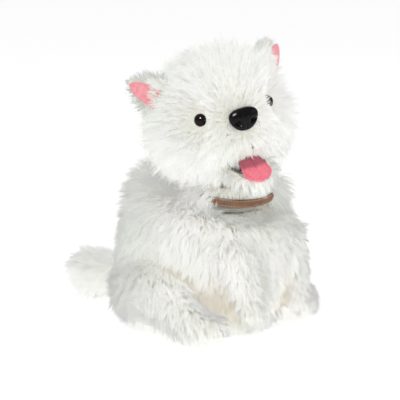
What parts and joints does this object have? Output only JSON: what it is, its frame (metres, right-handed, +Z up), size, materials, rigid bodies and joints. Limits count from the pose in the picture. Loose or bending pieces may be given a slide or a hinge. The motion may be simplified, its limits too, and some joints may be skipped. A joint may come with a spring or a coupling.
{
  "type": "interactive plush pet",
  "caption": "Sitting white terrier puppy plush with a motor-driven turning and tilting head, opening mouth and wagging tail around a plastic skeleton.",
  "frame": {"origin": "on the floor, on the flat face of the base plate, under the middle of the torso", "axes": "+Z up, nose towards -Y, the puppy's left side towards +X"},
  "size_m": [0.2116, 0.2948, 0.2943],
  "materials": {
    "white_fur": "long straight pile faux fur",
    "stuffing": "polyester fibre fill",
    "pink_satin": "short pink plush",
    "mouth_lining": "dark woven lining",
    "pink_felt": "pink felt with stitched edge",
    "collar_leather": "brown leatherette with stitched edges",
    "brass_trim": "polished",
    "eye_black": "glossy black bead",
    "nose_black": "glossy black with a fine leathery skin",
    "base_plastic": "moulded white",
    "frame_plastic": "moulded light grey",
    "dark_plastic": "moulded black",
    "gear_plastic": "natural acetal",
    "button_plastic": "red moulded",
    "steel": "zinc plated",
    "cell_wrap": "plain printed sleeve",
    "board": "green solder mask",
    "speaker_paper": "treated cone"
  },
  "bodies": {
    "torso": {"torso_cover": "white_fur", "torso_stuffing": "stuffing", "foreleg_cover_right": "white_fur", "foreleg_cover_left": "white_fur", "hindleg_cover_right": "white_fur", "hindleg_cover_left": "white_fur", "collar_strap": "collar_leather", "collar_buckle": "brass_trim", "collar_rivets": "brass_trim", "base_plate": "base_plastic", "base_screws": "steel", "housing_front": "frame_plastic", "housing_rear": "frame_plastic", "housing_screws": "steel", "battery_box": "dark_plastic", "battery_cells": "cell_wrap", "battery_contacts": "steel", "circuit_board": "board", "board_parts": "dark_plastic", "speaker_basket": "dark_plastic", "speaker_cone": "speaker_paper", "speaker_magnet": "steel", "microphone": "dark_plastic", "switch_housing": "dark_plastic", "neck_bearing": "gear_plastic", "turn_motor": "steel", "tail_motor": "steel", "tail_post": "steel"},
    "door": {"battery_door": "base_plastic", "door_screw": "steel"},
    "power_switch": {"power_switch_knob": "dark_plastic"},
    "back_button": {"back_touch_button": "button_plastic"},
    "turn_drive": {"turn_pinion": "gear_plastic"},
    "neck": {"neck_yoke": "frame_plastic", "turn_gear": "gear_plastic", "tilt_axle": "steel", "tilt_motor": "steel", "neck_sleeve": "white_fur"},
    "tilt_drive": {"tilt_pinion": "gear_plastic"},
    "head": {"head_cover": "white_fur", "skull_front": "frame_plastic", "skull_rear": "frame_plastic", "skull_screws": "steel", "tilt_hub": "gear_plastic", "eyes": "eye_black", "nose": "nose_black", "ear_covers": "white_fur", "ear_linings": "pink_satin", "palate_lining": "mouth_lining", "jaw_motor": "steel", "jaw_axle": "steel"},
    "head_button": {"head_touch_button": "button_plastic"},
    "jaw_drive": {"jaw_pinion": "gear_plastic"},
    "jaw": {"jaw_plate": "dark_plastic", "jaw_cover": "white_fur", "tongue": "pink_felt"},
    "tail": {"tail_cover": "white_fur", "tail_lever": "gear_plastic"},
    "tail_drive": {"tail_pinion": "gear_plastic"}
  },
  "joints": [
    {"name": "head_turn", "type": "hinge", "parent": "torso", "child": "neck", "pos_m": [0, -0.03, 0.16], "axis": [0, 0, 1], "range_deg": [-5, 50]},
    {"name": "head_tilt", "type": "hinge", "parent": "neck", "child": "head", "pos_m": [0, -0.03, 0.16], "axis": [0.4384, 0.8988, 0], "range_deg": [-4, 22]},
    {"name": "jaw_open", "type": "hinge", "parent": "head", "child": "jaw", "pos_m": [-0.01603, -0.05111, 0.1865], "axis": [0.8823, -0.4303, 0.1908], "range_deg": [-14, 4]},
    {"name": "tail_wag", "type": "hinge", "parent": "torso", "child": "tail", "pos_m": [0, 0.06, 0.046], "axis": [0, 0, 1], "range_deg": [-25, 25]},
    {"name": "turn_pinion_spin", "type": "hinge", "parent": "torso", "child": "turn_drive", "pos_m": [0, -0.01034, 0.109], "axis": [0, 0, 1], "range_deg": [-145, 20]},
    {"name": "tilt_pinion_spin", "type": "hinge", "parent": "neck", "child": "tilt_drive", "pos_m": [0.02091, -0.0402, 0.16], "axis": [0.4384, 0.8988, 0], "range_deg": [-82, 20]},
    {"name": "jaw_pinion_spin", "type": "hinge", "parent": "head", "child": "jaw_drive", "pos_m": [-0.00996, -0.05407, 0.20418], "axis": [0.8823, -0.4303, 0.1908], "range_deg": [-12, 34]},
    {"name": "tail_pinion_spin", "type": "hinge", "parent": "torso", "child": "tail_drive", "pos_m": [0, 0.04274, 0.0515], "axis": [0, 0, 1], "range_deg": [-62, 62]},
    {"name": "switch_slide", "type": "slide", "parent": "torso", "child": "power_switch", "axis": [1, 0, 0], "range_m": [0, 0.004]},
    {"name": "door_lift_off", "type": "slide", "parent": "torso", "child": "door", "axis": [0, 0, -1], "range_m": [0, 0.03]},
    {"name": "back_button_press", "type": "slide", "parent": "torso", "child": "back_button", "axis": [0, -1, 0], "range_m": [0, 0.0015]},
    {"name": "head_button_press", "type": "slide", "parent": "head", "child": "head_button", "axis": [-0.0052, -0.4142, -0.9101], "range_m": [0, 0.0015]}
  ],
  "couplings": [
    {"joint": "turn_pinion_spin", "follows": "head_turn", "ratio": -2.7692},
    {"joint": "tilt_pinion_spin", "follows": "head_tilt", "ratio": -3.4615},
    {"joint": "jaw_pinion_spin", "follows": "jaw_open", "ratio": -2.0769},
    {"joint": "tail_pinion_spin", "follows": "tail_wag", "ratio": -2.3077}
  ]
}
